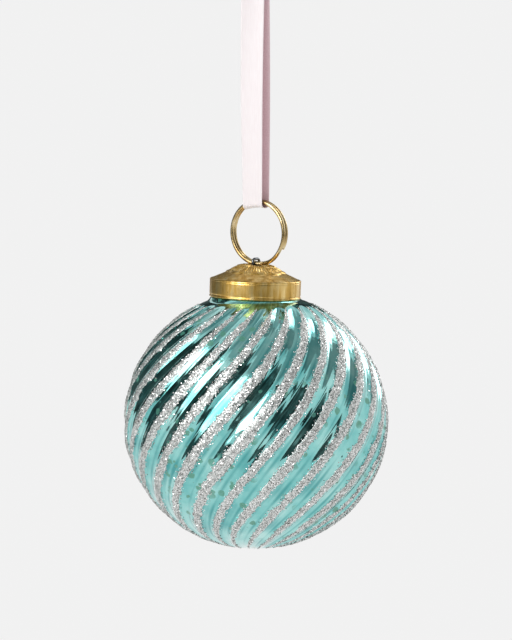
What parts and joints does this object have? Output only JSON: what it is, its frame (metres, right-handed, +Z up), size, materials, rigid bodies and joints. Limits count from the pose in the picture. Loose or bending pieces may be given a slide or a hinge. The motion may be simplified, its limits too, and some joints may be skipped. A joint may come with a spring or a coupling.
{
  "type": "glass ball ornament",
  "caption": "Silvered teal glass ball with spiral ribs and glitter lines, brass cap, wire hanger and split ring, hung from a satin ribbon.",
  "frame": {"origin": "the hang point: where a hook or twig carries the ribbon, between its two strands under the knot", "axes": "+Z up along the plumb line, -Y towards the viewer, +X to the viewer's right"},
  "size_m": [0.0806, 0.0806, 0.2028],
  "materials": {
    "silvered_glass": "silvered inside, teal lacquer, antiqued",
    "glitter": "coarse silver glitter in clear glue",
    "cap_brass": "pressed, aged satin",
    "ring_brass": "drawn wire, polished and aged",
    "hanger_steel": "drawn spring wire, dark",
    "satin": "satin weave"
  },
  "bodies": {
    "ribbon": {"ribbon": "satin", "ribbon_knot": "satin"},
    "ring": {"split_ring": "ring_brass"},
    "hanger": {"hanger_wire": "hanger_steel"},
    "cap": {"cap": "cap_brass"},
    "ball": {"glass_ball": "silvered_glass", "glitter_band_01": "glitter", "glitter_band_02": "glitter", "glitter_band_03": "glitter", "glitter_band_04": "glitter", "glitter_band_05": "glitter", "glitter_band_06": "glitter", "glitter_band_07": "glitter", "glitter_band_08": "glitter", "glitter_band_09": "glitter", "glitter_band_10": "glitter", "glitter_band_11": "glitter", "glitter_band_12": "glitter", "glitter_band_13": "glitter", "glitter_band_14": "glitter", "glitter_band_15": "glitter", "glitter_band_16": "glitter", "glitter_band_17": "glitter", "glitter_band_18": "glitter", "glitter_band_19": "glitter", "glitter_band_20": "glitter", "glitter_band_21": "glitter", "glitter_band_22": "glitter", "glitter_band_23": "glitter", "glitter_band_24": "glitter"}
  },
  "joints": [
    {"name": "ring_swing", "type": "hinge", "parent": "ribbon", "child": "ring", "pos_m": [0, 0, -0.074], "axis": [0.8241, -0.5664, 0], "range_deg": [-60, 60]},
    {"name": "ornament_swing", "type": "hinge", "parent": "ring", "child": "hanger", "pos_m": [0, 0, -0.09213], "axis": [0.8241, -0.5664, 0], "range_deg": [-18, 18]},
    {"name": "ball_turn", "type": "hinge", "parent": "hanger", "child": "cap", "pos_m": [0, 0, -0.09308], "axis": [0, 0, 1], "continuous": true},
    {"name": "cap_pull", "type": "slide", "parent": "cap", "child": "ball", "axis": [0, 0, -1], "range_m": [0, 0.03]}
  ]
}
